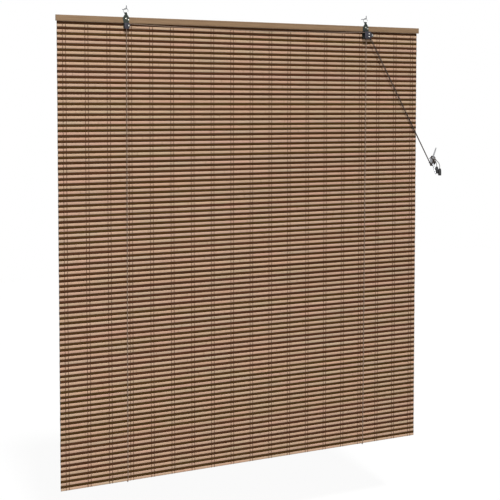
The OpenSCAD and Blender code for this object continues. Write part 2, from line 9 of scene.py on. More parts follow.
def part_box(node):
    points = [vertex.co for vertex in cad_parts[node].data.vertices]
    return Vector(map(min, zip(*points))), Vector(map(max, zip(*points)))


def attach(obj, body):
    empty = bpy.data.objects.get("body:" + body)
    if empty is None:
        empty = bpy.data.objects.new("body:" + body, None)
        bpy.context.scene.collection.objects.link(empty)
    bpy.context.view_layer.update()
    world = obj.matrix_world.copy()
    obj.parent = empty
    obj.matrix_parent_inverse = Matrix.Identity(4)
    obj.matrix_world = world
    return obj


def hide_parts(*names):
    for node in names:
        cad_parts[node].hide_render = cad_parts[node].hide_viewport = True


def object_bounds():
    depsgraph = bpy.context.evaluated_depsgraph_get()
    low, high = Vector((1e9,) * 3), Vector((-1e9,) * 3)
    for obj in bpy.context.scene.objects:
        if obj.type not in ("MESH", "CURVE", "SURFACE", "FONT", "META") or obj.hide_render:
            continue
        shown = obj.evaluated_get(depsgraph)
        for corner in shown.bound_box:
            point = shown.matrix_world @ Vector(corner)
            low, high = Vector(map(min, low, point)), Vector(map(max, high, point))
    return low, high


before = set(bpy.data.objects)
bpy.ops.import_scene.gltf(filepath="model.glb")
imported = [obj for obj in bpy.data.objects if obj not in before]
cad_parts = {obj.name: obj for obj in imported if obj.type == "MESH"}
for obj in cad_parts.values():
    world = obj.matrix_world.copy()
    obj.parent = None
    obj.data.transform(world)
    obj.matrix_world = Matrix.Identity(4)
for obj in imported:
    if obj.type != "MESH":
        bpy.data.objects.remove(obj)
cadLow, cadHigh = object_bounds()
random.seed(41)
mm = 0.001
tiny = 0.001 * mm  # points closer than this are one point
hair = 0.01 * mm  # room for rounding when places are compared
inward = Vector((0, 1, 0))  # into the wall
scene = bpy.context.scene
scene.view_settings.view_transform = "Standard"


def boxOf(node):
    low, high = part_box(node)
    return Vector(low), Vector(high)


def middleOf(node):
    low, high = boxOf(node)
    return (low + high) / 2


def roundPlace(node):
    # middle and radius of something round
    low, high = boxOf(node)
    return (low + high) / 2, (high.x - low.x) / 2


# camera, at the photograph's place
cameraWork = {
    "place": (-2.3573, -4.0196, -0.3315),
    "turn": 30.378,  # degrees to the right of straight on
    "tip": 3.464,  # degrees down
    "focal": 1288.64,  # in pixels of the frame
    "frame": 500,
    "sensor": 36,
    "rise": -0.13,  # lens shift
}
lens = bpy.data.cameras.new("photoCamera")
lens.sensor_width = cameraWork["sensor"]
lens.lens = cameraWork["focal"] / cameraWork["frame"] * cameraWork["sensor"]
lens.shift_y = cameraWork["rise"]
photoCamera = bpy.data.objects.new("photoCamera", lens)
photoCamera.location = cameraWork["place"]
photoCamera.rotation_euler = (math.radians(90 - cameraWork["tip"]), 0, math.radians(-cameraWork["turn"]))
scene.collection.objects.link(photoCamera)
scene.camera = photoCamera
print("camera placed")


# materials: a few shared helpers
def shade(red, green, blue):
    # sRGB levels to linear light
    parts = [part / 255 for part in (red, green, blue)]
    line = [part / 12.92 if part <= 0.04045 else ((part + 0.055) / 1.055) ** 2.4 for part in parts]
    return (*line, 1.0)


def put(tree, kind, sockets=None, **settings):
    node = tree.nodes.new("ShaderNode" + kind)
    for name, value in settings.items():
        setattr(node, name, value)
    for name, value in (sockets or {}).items():
        node.inputs[name].default_value = value
    return node


def fill(tree, socket, value):
    # a plain value is set, an output is linked
    if isinstance(value, (int, float, tuple)):
        socket.default_value = value
    else:
        tree.links.new(value, socket)


def math2(tree, operation, first, second):
    node = put(tree, "Math", operation=operation)
    fill(tree, node.inputs[0], first)
    fill(tree, node.inputs[1], second)
    return node.outputs[0]


def spread(tree, value, low, high, newLow, newHigh):
    node = put(tree, "MapRange", {"From Min": low, "From Max": high, "To Min": newLow, "To Max": newHigh})
    tree.links.new(value, node.inputs["Value"])
    return node.outputs[0]


noiseSpan = (0.3, 0.7)  # where nearly all of a noise lies


def fromNoise(tree, value, newLow, newHigh):
    return spread(tree, value, *noiseSpan, newLow, newHigh)


mixSockets = {"amount": 0, "first": 6, "second": 7, "result": 2}  # those of a colour mix


def blendColours(tree, way, amount, first, second):
    node = put(tree, "Mix", data_type="RGBA", blend_type=way)
    fill(tree, node.inputs[mixSockets["amount"]], amount)
    fill(tree, node.inputs[mixSockets["first"]], first)
    fill(tree, node.inputs[mixSockets["second"]], second)
    return node.outputs[mixSockets["result"]]


def ramp(tree, value, stops):
    node = put(tree, "ValToRGB")
    while len(node.color_ramp.elements) < len(stops):
        node.color_ramp.elements.new(0.5)
    for element, (place, colour) in zip(node.color_ramp.elements, stops):
        element.position = place
        element.color = colour
    tree.links.new(value, node.inputs[0])
    return node.outputs[0]


def stretched(tree, vector, scale):
    node = put(tree, "Mapping", {"Scale": scale})
    tree.links.new(vector, node.inputs["Vector"])
    return node.outputs[0]


def noise(tree, vector, scale, detail=3.0):
    node = put(tree, "TexNoise", {"Scale": scale, "Detail": detail, "Roughness": 0.55})
    tree.links.new(vector, node.inputs["Vector"])
    return node.outputs["Fac"]


def placeOf(tree, vector):
    node = put(tree, "SeparateXYZ")
    tree.links.new(vector, node.inputs[0])
    return node.outputs


def newGroup(name, inputs, outputs):
    group = bpy.data.node_groups.new(name, "ShaderNodeTree")
    for label, kind in inputs:
        group.interface.new_socket(label, in_out="INPUT", socket_type="NodeSocket" + kind)
    for label in outputs:
        group.interface.new_socket(label, in_out="OUTPUT", socket_type="NodeSocketFloat")
    return group, group.nodes.new("NodeGroupInput").outputs, group.nodes.new("NodeGroupOutput").inputs


def useGroup(tree, group, vector, **values):
    node = put(tree, "Group", node_tree=group)
    tree.links.new(vector, node.inputs["Vector"])
    for label, value in values.items():
        fill(tree, node.inputs[label], value)
    return node.outputs


def newFinish(name, **sockets):
    finish = bpy.data.materials.new(name)
    finish.use_nodes = True
    tree = finish.node_tree
    shader = tree.nodes["Principled BSDF"]
    for label, value in sockets.items():
        shader.inputs[label.replace("_", " ")].default_value = value
    vector = tree.nodes.new("ShaderNodeTexCoord").outputs["Object"]
    return finish, tree, shader, vector


def feed(tree, shader, **outputs):
    # an underscore in a label stands for a blank
    for label, output in outputs.items():
        tree.links.new(output, shader.inputs[label.replace("_", " ")])


def bumped(tree, shader, height, strength, distance):
    node = put(tree, "Bump", {"Strength": strength, "Distance": distance})
    tree.links.new(height, node.inputs["Height"])
    tree.links.new(node.outputs[0], shader.inputs["Normal"])


# bamboo fibre: fine streaks along X, a slow drift of tint, and the knuckles of the cane
fibreWork = {
    "apart": 37.0,  # metres of cane between a tone of 0 and one of 1
    "streak": (0.035, 1.0, 1.0),  # drawn out along the cane
    "drift": (1.0, 0.2, 0.2),  # almost the same all over its section
    "driftScale": 6.5,
    "knuckles": 2.7,  # to a metre of cane
    "knuckleEdge": (0.002, 0.008),  # from its middle, as a share of the cane between two
}
fibre, given, out = newGroup("bambooFibre", [("Vector", "Vector"), ("Tone", "Float"), ("Grain", "Float")],
                             ["Streak", "Drift", "Knuckle"])
link = fibre.links.new
shift = put(fibre, "CombineXYZ")
link(math2(fibre, "MULTIPLY", given["Tone"], fibreWork["apart"]), shift.inputs["X"])
moved = put(fibre, "VectorMath", operation="ADD")
link(given["Vector"], moved.inputs[0])
link(shift.outputs[0], moved.inputs[1])
fine = put(fibre, "TexNoise", {"Detail": 5.0, "Roughness": 0.62})
link(stretched(fibre, moved.outputs[0], fibreWork["streak"]), fine.inputs["Vector"])
link(given["Grain"], fine.inputs["Scale"])
link(fine.outputs["Fac"], out["Streak"])
slow = stretched(fibre, moved.outputs[0], fibreWork["drift"])
link(noise(fibre, slow, fibreWork["driftScale"], detail=1.5), out["Drift"])
along = math2(fibre, "MULTIPLY", placeOf(fibre, moved.outputs[0])["X"], fibreWork["knuckles"])
share = math2(fibre, "FRACT", along, 0.0)
off = math2(fibre, "ABSOLUTE", math2(fibre, "SUBTRACT", share, 0.5), 0.0)
link(spread(fibre, off, *fibreWork["knuckleEdge"], 1.0, 0.0), out["Knuckle"])

# bare metal: broad clouds, and fine scratches drawn out up and down
scratchStretch = (9.0, 9.0, 1.2)
skin, given, out = newGroup("metalSkin", [("Vector", "Vector"), ("Scale", "Float")], ["Cloud", "Scratch"])
link = skin.links.new
cloud = put(skin, "TexNoise", {"Detail": 4.0, "Roughness": 0.6})
link(given["Vector"], cloud.inputs["Vector"])
link(given["Scale"], cloud.inputs["Scale"])
link(cloud.outputs["Fac"], out["Cloud"])
scratch = put(skin, "TexNoise", {"Detail": 3.0, "Roughness": 0.7})
link(stretched(skin, given["Vector"], scratchStretch), scratch.inputs["Vector"])
link(given["Scale"], scratch.inputs["Scale"])
link(scratch.outputs["Fac"], out["Scratch"])

# braided cord: small cells, each with a tone of its own
braid, given, out = newGroup("braidCells", [("Vector", "Vector"), ("Cells", "Float")], ["Strand", "Tone"])
link = braid.links.new
cells = put(braid, "TexVoronoi")
link(given["Vector"], cells.inputs["Vector"])
link(given["Cells"], cells.inputs["Scale"])
link(cells.outputs["Distance"], out["Strand"])
tint = put(braid, "SeparateColor")
link(cells.outputs["Color"], tint.inputs[0])
link(tint.outputs[0], out["Tone"])
print("shared patterns made")

metalWork = {"clouds": (0.34, 0.68), "gloss": (-0.07, 0.09)}  # gloss: either side of the mean roughness


def metalFinish(name, dark, pale, rough, scale, strength=0.05, depth=0.02 * mm):
    finish, tree, shader, vector = newFinish(name, Metallic=1.0)
    worn = useGroup(tree, skin, vector, Scale=scale)
    darkEnd, paleStart = metalWork["clouds"]
    colour = ramp(tree, worn["Cloud"], [(darkEnd, shade(*dark)), (paleStart, shade(*pale))])
    low, high = [rough + off for off in metalWork["gloss"]]
    feed(tree, shader, Base_Color=colour, Roughness=fromNoise(tree, worn["Scratch"], low, high))
    bumped(tree, shader, worn["Scratch"], strength, depth)
    return finish


# pieces: how one is made, placed and named
def addPiece(name, data, finish, body, slotName, *nodes):
    piece = bpy.data.objects.new(name, data)
    scene.collection.objects.link(piece)
    data.materials.append(finish)
    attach(piece, body)
    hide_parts(*nodes)
    return piece


def meshPiece(name, bm, finish, body, slotName, *nodes, sharp=35):
    mesh = bpy.data.meshes.new(name)
    bm.to_mesh(mesh)
    bm.free()
    mesh.shade_smooth()
    mesh.set_sharp_from_angle(angle=math.radians(sharp))
    return addPiece(name, mesh, finish, body, slotName, *nodes)


def cadCopy(node):
    bm = bmesh.new()
    bm.from_mesh(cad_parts[node].data)
    bmesh.ops.remove_doubles(bm, verts=bm.verts, dist=tiny)
    return bm


def roundEdges(bm, edges, by, segments):
    bmesh.ops.bevel(bm, geom=edges, offset=by, offset_type="OFFSET", affect="EDGES", segments=segments,
                    profile=0.5, material=-1, clamp_overlap=True)


def refinedCopy(name, node, finish, body, slotName, rounding, segments=2):
    # the solid's own form, with its sharp edges rounded
    flat, sharp = math.radians(1), math.radians(30)
    bm = cadCopy(node)
    bmesh.ops.dissolve_limit(bm, angle_limit=flat, verts=bm.verts, edges=bm.edges)
    edges = [edge for edge in bm.edges if edge.is_manifold and edge.calc_face_angle() > sharp]
    roundEdges(bm, edges, rounding, segments)
    meshPiece(name, bm, finish, body, slotName, node)


def vertsIn(geom):
    return [item for item in geom if isinstance(item, bmesh.types.BMVert)]


def turnVerts(bm, verts, angle, axis):
    bmesh.ops.rotate(bm, cent=(0, 0, 0), matrix=Matrix.Rotation(angle, 3, axis), verts=verts)


def ringEdges(verts):
    inside = set(verts)
    return [edge for edge in {edge for vert in verts for edge in vert.link_edges}
            if edge.verts[0] in inside and edge.verts[1] in inside]


def extendRing(bm, verts, by, grow=1.0):
    verts = vertsIn(bmesh.ops.extrude_edge_only(bm, edges=ringEdges(verts))["geom"])
    bmesh.ops.translate(bm, vec=by, verts=verts)
    if grow != 1.0:
        middle = sum((vert.co for vert in verts), Vector()) / len(verts)
        for vert in verts:
            vert.co = middle + (vert.co - middle) * grow
    return verts


def turned(bm, outline, place, axis, steps=28):
    # outline: (radius, height along the axis) pairs
    side = Vector((1, 0, 0))
    verts = [bm.verts.new(place + side * radius + axis * height) for radius, height in outline]
    edges = [bm.edges.new(pair) for pair in zip(verts, verts[1:])]
    bmesh.ops.spin(bm, geom=verts + edges, cent=place, axis=axis, angle=2 * math.pi, steps=steps,
                   use_merge=True)


def closeUp(bm):
    bmesh.ops.remove_doubles(bm, verts=bm.verts, dist=tiny)
    bmesh.ops.recalc_face_normals(bm, faces=bm.faces)


# cords
cordWork = {
    "diameter": 2.4 * mm,
    "steps": 12,  # in a straight run
    "loopSteps": 8,  # round the mat's bottom edge
    "meets": 165,  # degrees round its sheave, where a lift cord comes onto it
    "sag": 9 * mm,  # between the pulleys
    "wrap": 7.8 * mm,  # cord's middle round the lock's cam
    "exitTurn": 31.93,  # degrees round the cam
    "exitRun": 14 * mm,  # from the cam to the pull cord's start
    "lead": 10 * mm,  # straight out of the lock
    "downSteps": 14,  # from there to the cleat
    "lift": ((137, 113, 95), (174, 150, 130)),
    "pull": ((50, 38, 31), (88, 69, 56)),
}
braidWork = {
    "cells": 1500.0,
    "tones": (0.15, 0.85),
    "crown": 0.2,  # full colour this far from a strand's middle
    "hollow": (0.75, (0.55, 0.52, 0.5, 1.0)),  # painted shade between the strands: this dark from here on
    "rough": (0.6, 0.85),
    "relief": 0.25 * mm,
    "lockAcross": (2 * mm, 4 * mm),  # from the right sheave's middle, where the other tint sets in
    "lockDown": (-2 * mm, -5 * mm),
}
cordRadius = cordWork["diameter"] / 2
matLow, matHigh = boxOf("slat_mat")


def braidFinish(name, tints, lockTints=None):
    finish, tree, shader, vector = newFinish(
        name, Sheen_Weight=0.25, Sheen_Roughness=0.5, Specular_IOR_Level=0.25)
    weave = useGroup(tree, braid, vector, Cells=braidWork["cells"])

    def strands(dark, pale):
        darkEnd, paleStart = braidWork["tones"]
        return ramp(tree, weave["Tone"], [(darkEnd, shade(*dark)), (paleStart, shade(*pale))])

    colour = strands(*tints)
    if lockTints:
        # past the right sheave, inside the lock, the cord takes the other tint
        place = placeOf(tree, vector)
        sheave = middleOf("rear_sheave")
        xStart, xEnd = [sheave.x + off for off in braidWork["lockAcross"]]
        zStart, zEnd = [sheave.z + off for off in braidWork["lockDown"]]
        across = spread(tree, place["X"], xStart, xEnd, 0.0, 1.0)
        down = spread(tree, place["Z"], zStart, zEnd, 0.0, 1.0)
        colour = blendColours(tree, "MIX", math2(tree, "MULTIPLY", across, down), colour, strands(*lockTints))
    # painted shade: the colour darkens away from each strand's middle, in the hollows between strands
    deep = ramp(tree, weave["Strand"], [(braidWork["crown"], (1, 1, 1, 1)), braidWork["hollow"]])
    feed(tree, shader, Base_Color=blendColours(tree, "MULTIPLY", 1.0, colour, deep),
         Roughness=spread(tree, weave["Tone"], 0.0, 1.0, *braidWork["rough"]))
    height = math2(tree, "SUBTRACT", 1.0, weave["Strand"])
    bumped(tree, shader, height, strength=0.7, distance=braidWork["relief"])
    return finish


def cordCurve(name, points, finish, slotName, *nodes, closed=False):
    line = bpy.data.curves.new(name, "CURVE")
    line.dimensions = "3D"
    line.bevel_depth = cordRadius
    line.bevel_resolution = 3
    line.resolution_u = 3
    line.use_fill_caps = not closed
    spline = line.splines.new("NURBS")
    spline.points.add(len(points) - 1)
    for knot, point in zip(spline.points, points):
        knot.co = (*point, 1.0)
    spline.order_u = 3
    spline.use_endpoint_u = not closed
    spline.use_cyclic_u = closed
    return addPiece(name, line, finish, "blind", slotName, *nodes)


def straight(start, end, steps):
    return [start.lerp(end, k / steps) for k in range(steps + 1)]


def arcPoints(middle, radius, start, end, steps, y):
    # start and end in degrees from +X towards +Z
    turns = [math.radians(start + (end - start) * k / steps) for k in range(steps + 1)]
    return [Vector((middle.x + radius * math.cos(turn), y, middle.z + radius * math.sin(turn)))
            for turn in turns]


def upAndOver(cord, ring, sheave, end, steps):
    # down the back, round the bottom edge, up the front and over the sheave as far as the end angle
    low, high = boxOf(cord)
    x, back = middleOf(ring).x, high.y - cordRadius
    loop = matLow.z - low.z - cordRadius
    points = straight(Vector((x, back, high.z)), Vector((x, back, matLow.z)), cordWork["steps"])
    for k in range(1, cordWork["loopSteps"]):
        turn = math.pi * k / cordWork["loopSteps"]
        points.append(Vector((x, back - loop * (1 - math.cos(turn)), matLow.z - loop * math.sin(turn))))
    foot = Vector((x, back - 2 * loop, matLow.z))
    middle, radius = roundPlace(sheave)
    points += straight(foot, Vector((middle.x - radius, middle.y, middle.z)), cordWork["steps"])
    return points + arcPoints(middle, radius, cordWork["meets"], end, steps, middle.y)


camMiddle = middleOf("lock_cam")
exitAngle = math.radians(180 + cordWork["exitTurn"])
exitWay = Vector((-math.sin(exitAngle), 0, math.cos(exitAngle)))


def downTheLock(sheave):
    # off the sheave, round the cam, and the point where the pull cord takes over
    middle, radius = roundPlace(sheave)
    points = arcPoints(middle, radius, start=90, end=0, steps=6, y=middle.y)
    points += arcPoints(camMiddle, cordWork["wrap"], start=180, end=180 + cordWork["exitTurn"],
                        steps=4, y=middle.y)
    return points, points[-1] + exitWay * cordWork["exitRun"]


liftBraid = braidFinish("liftBraid", cordWork["lift"], cordWork["pull"])
pullBraid = braidFinish("pullBraid", cordWork["pull"])

leftPoints = upAndOver("left_lift_cord", "left_ring", "left_sheave", end=90, steps=5)
lock, frontStart = downTheLock("front_sheave")
span = straight(leftPoints[-1], lock[0], cordWork["steps"])[1:-1]
for k, point in enumerate(span, 1):
    share = k / cordWork["steps"]
    point.z -= 4 * cordWork["sag"] * share * (1 - share)
leftPoints += span + lock + [frontStart]
cordCurve("leftLiftCord", leftPoints, liftBraid, "lift_cord", "left_lift_cord")

rightPoints = upAndOver("right_lift_cord", "right_ring", "rear_sheave", end=105, steps=4)
lock, rearStart = downTheLock("rear_sheave")
rightPoints += lock + [rearStart]
cordCurve("rightLiftCord", rightPoints, liftBraid, "lift_cord", "right_lift_cord")

# the two pull cords: down to the cleat, under its lower horn, a figure of eight round both horns, and a tail
cleatMiddle = middleOf("cleat")
cleatPlace = Vector((cleatMiddle.x, 0, cleatMiddle.z))
windWork = {
    "halfTurns": 3,
    "steps": 12,  # points to each half turn
    "past": 2,  # points beyond the last one, towards the tail
    "lean": 0.5,  # how soon those come forward
    "crossing": (-13.3 * mm, -15.8 * mm, -18.3 * mm),  # how far out each crossing lies
    "apart": 1.85 * mm,  # the two cords lie side by side where they cross
}
pullWork = {  # places in mm from the cleat's middle, on the wall
    "front": {
        "under": ((-13, -12, -12), (-11, -9.5, -17), (-7, -7.2, -19.5), (-3, -6.4, -19)),
        "ends": ((-6.4, 19), (-6.3, 19), (-5.6, 16.5), (-5.6, 16.5)),  # depth and reach behind each horn
        "width": 9.2,
        "side": 1,  # above the other cord where they cross
        "tail": ((10.2, -9.5, 7), (10.6, -12, 2), (10.7, -15, -4), (10.9, -18, -10), (11, -20, -16),
                 (11, -20, -22), (11, -20, -30), (11, -20, -37.8)),
    },
    "rear": {
        "under": ((-13, -9, -12), (-11, -6.6, -17), (-7, -4.6, -19.5), (-3, -3.9, -19)),
        "ends": ((-3.9, 19), (-3.8, 19), (-3.7, 16.5), (-3.7, 16.5)),
        "width": 7.2,
        "side": -1,  # below it
        "tail": ((8.6, -9.5, 11), (11, -14, 5), (14, -17, -1), (19.5, -18.8, -6), (23.8, -19.8, -12.5),
                 (25.7, -20, -19), (26, -20, -25), (26, -20, -32), (26, -20, -38), (26, -20, -45.8)),
    },
}


def onCleat(points):
    return [cleatPlace + Vector(point) * mm for point in points]


def windings(work):
    points = []
    last, steps = windWork["halfTurns"], windWork["steps"]
    for k in range(1, last * steps + windWork["past"] + 1):
        turn = math.pi * k / steps
        leg = min(k // steps, last)
        nearEnd = leg if k / steps - leg < 0.5 else leg + 1
        depth, reach = work["ends"][min(nearEnd, last)]
        weight = math.sin(turn) ** 2  # 0 behind a horn, 1 where the cords cross
        soft = weight * weight * (3 - 2 * weight)
        if leg < last:
            y = depth * mm * (1 - soft) + windWork["crossing"][leg] * soft
        else:
            y = depth * mm * (1 + windWork["lean"] * weight)
        z = -reach * mm * math.cos(turn) + work["side"] * windWork["apart"] * weight
        points.append(cleatPlace + Vector((work["width"] * mm * math.sin(2 * turn), y, z)))
    return points


def pullRoute(start, work):
    under = onCleat(work["under"])
    down = straight(start + exitWay * cordWork["lead"], under[0], cordWork["downSteps"])
    return [start] + down + under[1:] + windings(work) + onCleat(work["tail"])


def runLength(points):
    return sum((b - a).length for a, b in zip(points, points[1:]))


frontRoute = pullRoute(frontStart, pullWork["front"])
rearRoute = pullRoute(rearStart, pullWork["rear"])
frontPullCord = cordCurve("frontPullCord", frontRoute, pullBraid, "pull_cord",
                          "front_pull_cord", "front_tail", "cord_hank")
rearPullCord = cordCurve("rearPullCord", rearRoute, pullBraid, "pull_cord", "rear_pull_cord", "rear_tail")
print("cords laid: front", round(runLength(frontRoute), 3), "m, rear", round(runLength(rearRoute), 3), "m")

# tassels and the knots that hold them
tasselWork = {
    # width and depth, as shares of the tassel's radius and length: down the outside, then up the hollow
    "outline": ((0.22, 0), (0.42, 0), (0.56, 0.012), (0.78, 0.09), (0.94, 0.28), (1.0, 0.58), (0.985, 0.86),
                (0.95, 0.955), (0.87, 1.0), (0.72, 1.0), (0.67, 0.97), (0.66, 0.6), (0.64, 0.47),
                (0.22, 0.46)),
    "grain": 420.0,
    "dark": (12, 12, 13),
    "pale": (22, 22, 24),
    "gloss": (0.12, 0.28),
}
knotWork = {"size": 0.5 * mm, "points": 18, "rise": 1.6, "lift": 1.2}  # rise and lift in sizes
blackPlastic, tree, shader, vector = newFinish("blackPlastic", Specular_IOR_Level=0.5)
mould = useGroup(tree, skin, vector, Scale=tasselWork["grain"])
colours = [shade(*tasselWork[tone]) for tone in ("dark", "pale")]
feed(tree, shader, Base_Color=ramp(tree, mould["Cloud"], list(zip(noiseSpan, colours))),
     Roughness=fromNoise(tree, mould["Scratch"], *tasselWork["gloss"]))
bumped(tree, shader, mould["Cloud"], strength=0.08, distance=0.05 * mm)


def tasselPiece(name, node):
    low, high = boxOf(node)
    middle, radius = roundPlace(node)
    length = high.z - low.z
    bm = bmesh.new()
    rim = tasselWork["outline"] + tasselWork["outline"][:1]
    turned(bm, [(across * radius, down * length) for across, down in rim],
           Vector((middle.x, middle.y, high.z)), Vector((0, 0, -1)))
    closeUp(bm)
    piece = meshPiece(name, bm, blackPlastic, "blind", "tassel_black", node, sharp=80)
    soften = piece.modifiers.new("soften", "SUBSURF")
    soften.levels = soften.render_levels = 1
    return piece


def knotPiece(name, route):
    # a trefoil round the cord's end
    points = []
    for k in range(knotWork["points"]):
        turn = 2 * math.pi * k / knotWork["points"]
        across = 2 + math.cos(3 * turn)
        up = knotWork["rise"] * math.sin(3 * turn) + knotWork["lift"]
        away = Vector((across * math.cos(2 * turn), across * math.sin(2 * turn), up))
        points.append(route[-1] + knotWork["size"] * away)
    return cordCurve(name, points, pullBraid, "pull_cord", "tassel_knots", closed=True)


frontTassel = tasselPiece("frontTassel", "front_tassel")
rearTassel = tasselPiece("rearTassel", "rear_tassel")
frontKnot = knotPiece("frontKnot", frontRoute)
rearKnot = knotPiece("rearKnot", rearRoute)
print("tassels hung")

# slats
slatWork = {
    "pairs": 89,
    "light": {
        "height": 9.2 * mm,
        "depth": 3.2 * mm,
        "tints": ((205, 170, 144), (211, 177, 154), (203, 168, 147), (209, 175, 148), (201, 167, 143),
                  (208, 173, 153)),
        "knuckle": (150, 116, 90),
        "atEnds": (190, 176, 158),
        "rough": 0.55,
        "shine": 0.22,
    },
    "dark": {
        "height": 8.0 * mm,
        "depth": 2.6 * mm,
        "tints": ((79, 51, 25), (71, 49, 19), (82, 51, 30), (73, 45, 26), (79, 56, 25), (68, 42, 22)),
        "knuckle": (46, 29, 15),
        "atEnds": (36, 26, 18),
        "rough": 0.6,
        "shine": 0.07,
    },
    "lap": 0.4 * mm,  # the dark ones reach behind the grooves
    "rounding": 1.4 * mm,
    "segments": 3,
    "crown": 0.8 * mm,
    "cuts": 2,  # across the length
    "faceCuts": (-0.22, 0, 0.22),  # along the face, as shares of the height
    "wander": 0.12 * mm,
    "shortest": 0.8 * mm,  # at most this much missing at each end
}
bambooWork = {
    "grain": 900.0,
    "warm": (1.05, 0.955, 0.93, 1.0),  # the tint drifts between these two
    "cool": (0.95, 1.03, 0.97, 1.0),
    "streaks": (0.84, 1.12),
    "knuckle": 0.4,  # strength of its tint
    "knuckleRise": 1.5,  # in heights of the streaks
    "gloss": (-0.08, 0.12),  # either side of the mean roughness
    "relief": 0.15 * mm,
    "endTintDepth": 1.0 * mm,
    "endTintBlend": 0.2 * mm,
}
matWidth = matHigh.x - matLow.x
meanHeight = (slatWork["light"]["height"] + slatWork["dark"]["height"]) / 2
slatPitch = (matHigh.z - matLow.z - meanHeight) / (slatWork["pairs"] - 0.5)
groove = slatPitch / 2 - meanHeight
darkRise = slatWork["light"]["height"] + groove  # from the foot of a light slat to the dark one above it


def bambooFinish(name, work):
    finish, tree, shader, vector = newFinish(name, Specular_IOR_Level=work["shine"])
    tone = put(tree, "Attribute", attribute_name="slatTone").outputs["Fac"]
    cane = useGroup(tree, fibre, vector, Tone=tone, Grain=bambooWork["grain"])
    last = len(work["tints"]) - 1
    colour = ramp(tree, tone, [(k / last, shade(*tint)) for k, tint in enumerate(work["tints"])])
    warm = blendColours(tree, "MULTIPLY", 1.0, colour, bambooWork["warm"])
    cool = blendColours(tree, "MULTIPLY", 1.0, colour, bambooWork["cool"])
    colour = blendColours(tree, "MIX", fromNoise(tree, cane["Drift"], 0.0, 1.0), cool, warm)
    light = put(tree, "CombineColor")
    streaks = fromNoise(tree, cane["Streak"], *bambooWork["streaks"])
    for channel in light.inputs:
        tree.links.new(streaks, channel)
    colour = blendColours(tree, "MULTIPLY", 1.0, colour, light.outputs[0])
    knuckles = math2(tree, "MULTIPLY", cane["Knuckle"], bambooWork["knuckle"])
    colour = blendColours(tree, "MIX", knuckles, colour, shade(*work["knuckle"]))
    # the last millimetre at each end of a slat takes another tint: darker on the dark slats, greyer on the
    # light ones
    far = math2(tree, "ABSOLUTE", placeOf(tree, vector)["X"], 0.0)
    start = matHigh.x - bambooWork["endTintDepth"]
    atEnds = spread(tree, far, start, start + bambooWork["endTintBlend"], 0.0, 1.0)
    colour = blendColours(tree, "MIX", atEnds, colour, shade(*work["atEnds"]))
    low, high = [work["rough"] + off for off in bambooWork["gloss"]]
    feed(tree, shader, Base_Color=colour, Roughness=fromNoise(tree, cane["Streak"], low, high))
    rise = math2(tree, "MULTIPLY", cane["Knuckle"], bambooWork["knuckleRise"])
    height = math2(tree, "ADD", cane["Streak"], rise)
    bumped(tree, shader, height, strength=0.5, distance=bambooWork["relief"])
    return finish


def slatMaster(height, depth):
    bm = bmesh.new()
    verts = bmesh.ops.create_cube(bm, size=1.0)["verts"]
    bmesh.ops.scale(bm, vec=(matWidth, depth - slatWork["crown"], height), verts=verts)

    def run(edge):
        return edge.verts[1].co - edge.verts[0].co

    longEdges = [edge for edge in bm.edges if abs(run(edge).x) > matWidth / 2]
    bmesh.ops.subdivide_edges(bm, edges=longEdges, cuts=slatWork["cuts"], use_grid_fill=True)
    front = min(vert.co.y for vert in bm.verts)
    rims = [edge for edge in bm.edges if abs(run(edge).x) > mm and abs(run(edge).z) < hair
            and all(vert.co.y < front + hair for vert in edge.verts)]
    roundEdges(bm, rims, slatWork["rounding"], slatWork["segments"])
    for share in slatWork["faceCuts"]:
        bmesh.ops.bisect_plane(bm, geom=bm.verts[:] + bm.edges[:] + bm.faces[:],
                               plane_co=(0, 0, share * height), plane_no=(0, 0, 1))
    for vert in bm.verts:
        if vert.co.y < front + slatWork["rounding"] - hair:
            vert.co.y -= slatWork["crown"] * (1 - (2 * vert.co.z / height) ** 2)
    mesh = bpy.data.meshes.new("slatMaster")
    bm.to_mesh(mesh)
    bm.free()
    return mesh


def wander():
    return random.uniform(-1, 1) * slatWork["wander"]


def slatPiece(name, kind, first):
    sizes = slatWork[kind]
    tall = sizes["height"]
    if kind == "dark":
        tall += 2 * (groove + slatWork["lap"])
    master = slatMaster(tall, sizes["depth"])
    count = len(master.vertices)
    bm = bmesh.new()
    tones = []
    for k in range(slatWork["pairs"]):
        bm.from_mesh(master)
        bm.verts.ensure_lookup_table()
        verts = bm.verts[-count:]
        slope = wander() / matWidth
        bow = [wander() for side in range(2)]
        for vert in verts:
            if abs(vert.co.x) < matWidth / 3:
                vert.co.z += bow[vert.co.x > 0]
        shorter = 1 - random.random() * slatWork["shortest"] / matWidth * 2
        bmesh.ops.scale(bm, vec=(shorter, 1, 1), verts=verts)
        turnVerts(bm, verts, slope, "Y")
        y = matHigh.y - (sizes["depth"] - slatWork["crown"]) / 2 + wander()
        z = matLow.z + k * slatPitch + first + sizes["height"] / 2 + wander()
        bmesh.ops.translate(bm, vec=(0, y, z), verts=verts)
        tones += [random.random()] * count
    bpy.data.meshes.remove(master)
    finish = bambooFinish(kind + "Bamboo", sizes)
    piece = meshPiece(name, bm, finish, "blind", "bamboo_slats", "slat_mat", sharp=50)
    layer = piece.data.attributes.new("slatTone", "FLOAT", "POINT")
    layer.data.foreach_set("value", tones)


slatPiece("lightSlats", "light", 0.0)
slatPiece("darkSlats", "dark", darkRise)
print("slats laid:", 2 * slatWork["pairs"], "at a pitch of", round(slatPitch / mm, 3), "mm")

